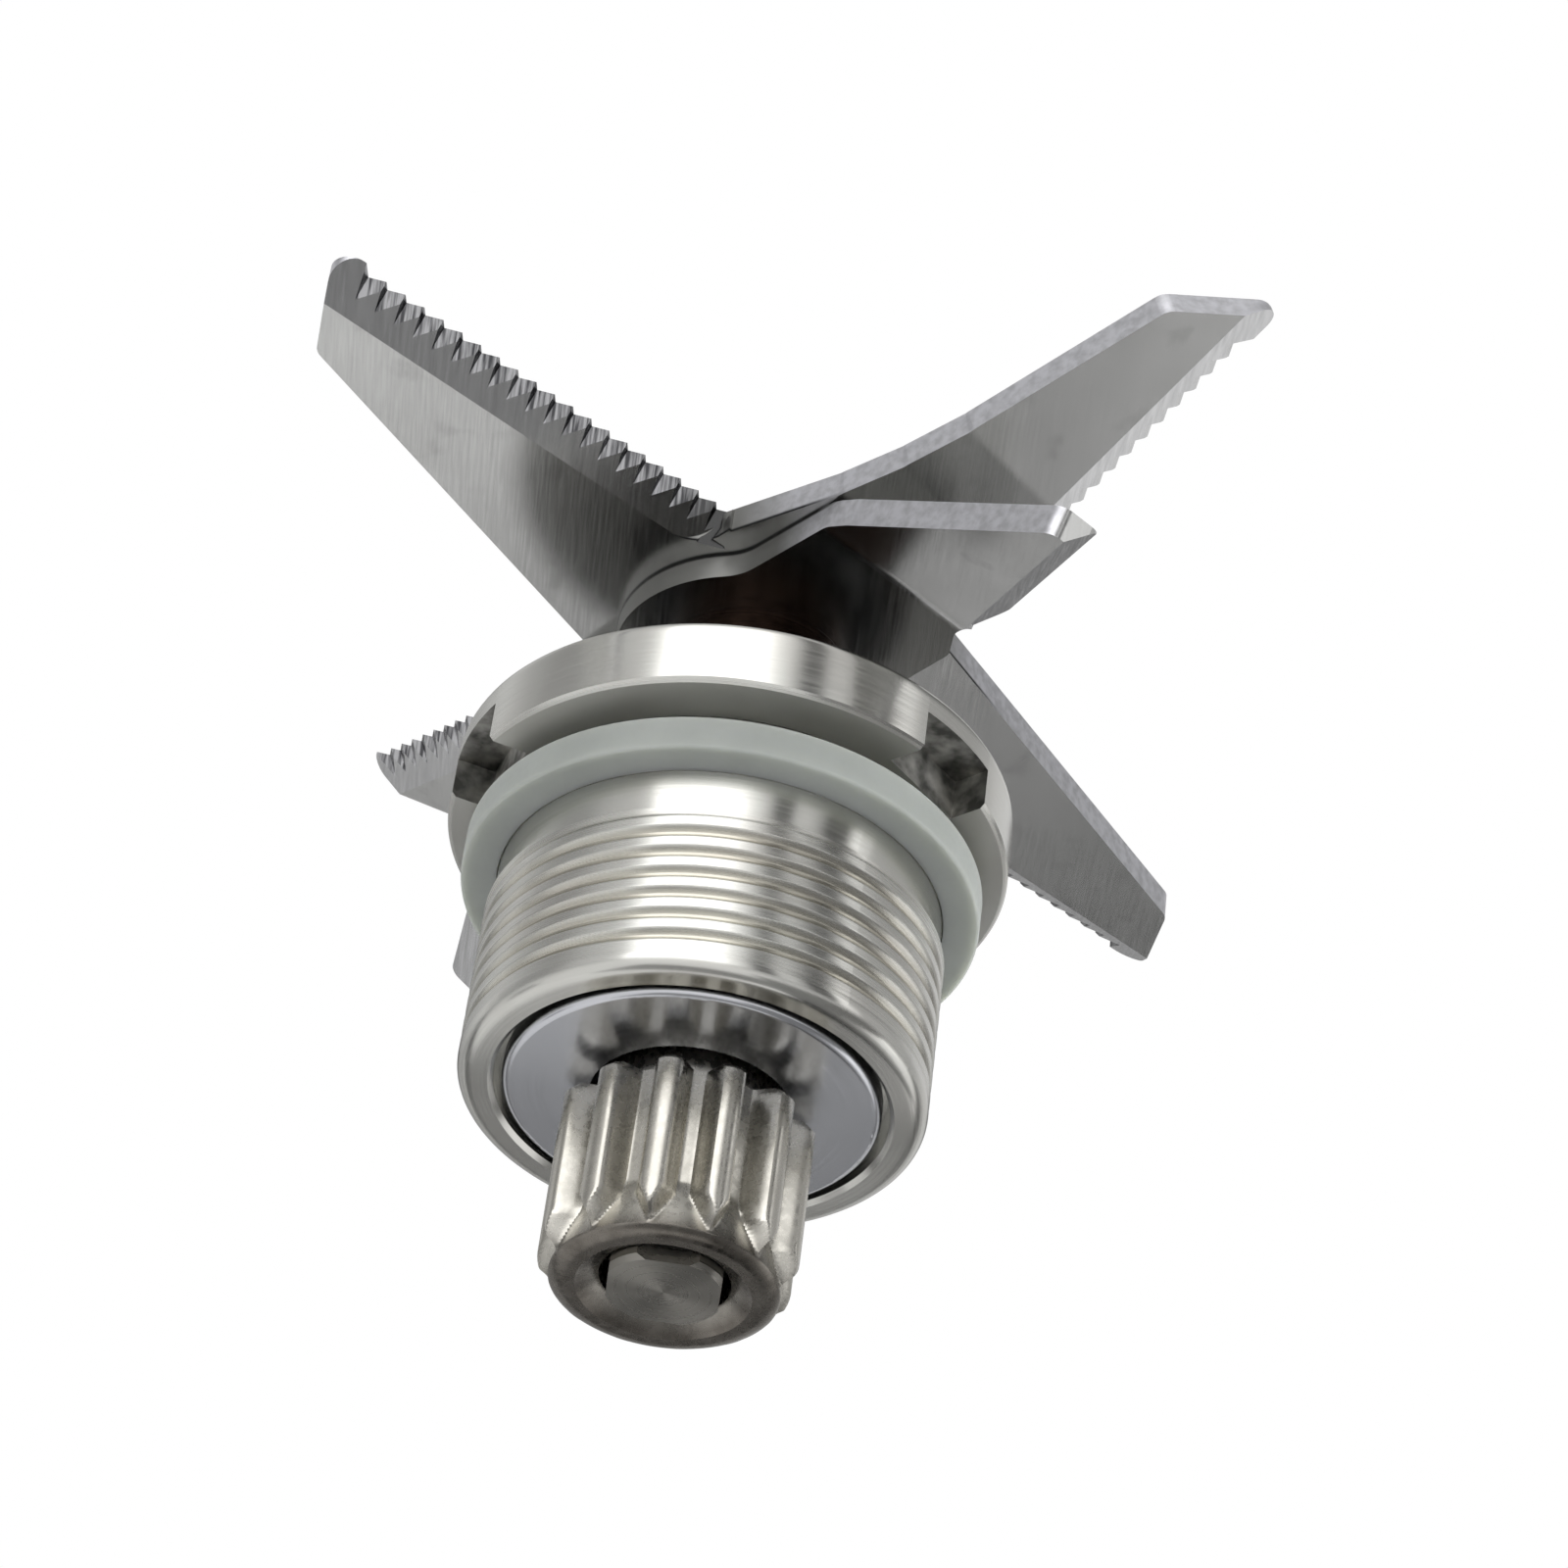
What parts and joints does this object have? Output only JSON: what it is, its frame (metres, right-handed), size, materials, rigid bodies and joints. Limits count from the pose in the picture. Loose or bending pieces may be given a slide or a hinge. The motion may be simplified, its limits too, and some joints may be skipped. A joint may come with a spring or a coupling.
{
  "type": "blender blade assembly",
  "caption": "Blender blade unit: toothed and plain steel wings on a spindle that turns in a threaded, flanged bearing housing and is driven by a splined coupling below.",
  "frame": {"origin": "on the spindle axis, in the flange face that looks at the jar", "axes": "+Z along the spindle axis, from the splined coupling to the blades"},
  "size_m": [0.0626, 0.0629, 0.0616],
  "materials": {
    "housing_steel": "turned, bright",
    "blade_steel": "satin sheet",
    "spline_steel": "machined",
    "cover_steel": "polished",
    "bearing_steel": "ground",
    "silicone": "translucent, satin",
    "seal_rubber": "matt",
    "cage_nylon": "matt",
    "zinc_steel": "zinc plated"
  },
  "bodies": {
    "housing_body": {"housing": "housing_steel", "flange_gasket": "silicone", "bearing_cover": "cover_steel", "shaft_seal": "seal_rubber", "garter_spring": "bearing_steel", "outer_spacer": "zinc_steel", "upper_outer_race": "bearing_steel", "upper_shields": "zinc_steel", "lower_outer_race": "bearing_steel", "lower_shields": "zinc_steel"},
    "rotor": {"spindle": "spline_steel", "drive_spline": "spline_steel", "lower_blade": "blade_steel", "upper_blade": "blade_steel", "lock_washer": "zinc_steel", "cap_nut": "zinc_steel", "inner_spacer": "zinc_steel", "upper_inner_race": "bearing_steel", "lower_inner_race": "bearing_steel"},
    "upper_ball_set": {"upper_balls": "bearing_steel", "upper_cage": "cage_nylon"},
    "lower_ball_set": {"lower_balls": "bearing_steel", "lower_cage": "cage_nylon"}
  },
  "joints": [
    {"name": "blade_spin", "type": "hinge", "parent": "housing_body", "child": "rotor", "pos_m": [0, 0, 0], "axis": [0, 0, 1], "continuous": true},
    {"name": "upper_ball_orbit", "type": "hinge", "parent": "housing_body", "child": "upper_ball_set", "pos_m": [0, 0, 0.0005], "axis": [0, 0, 1], "continuous": true},
    {"name": "lower_ball_orbit", "type": "hinge", "parent": "housing_body", "child": "lower_ball_set", "pos_m": [0, 0, -0.0129], "axis": [0, 0, 1], "continuous": true}
  ],
  "couplings": [
    {"joint": "upper_ball_orbit", "follows": "blade_spin", "ratio": 0.36773},
    {"joint": "lower_ball_orbit", "follows": "blade_spin", "ratio": 0.36773}
  ]
}
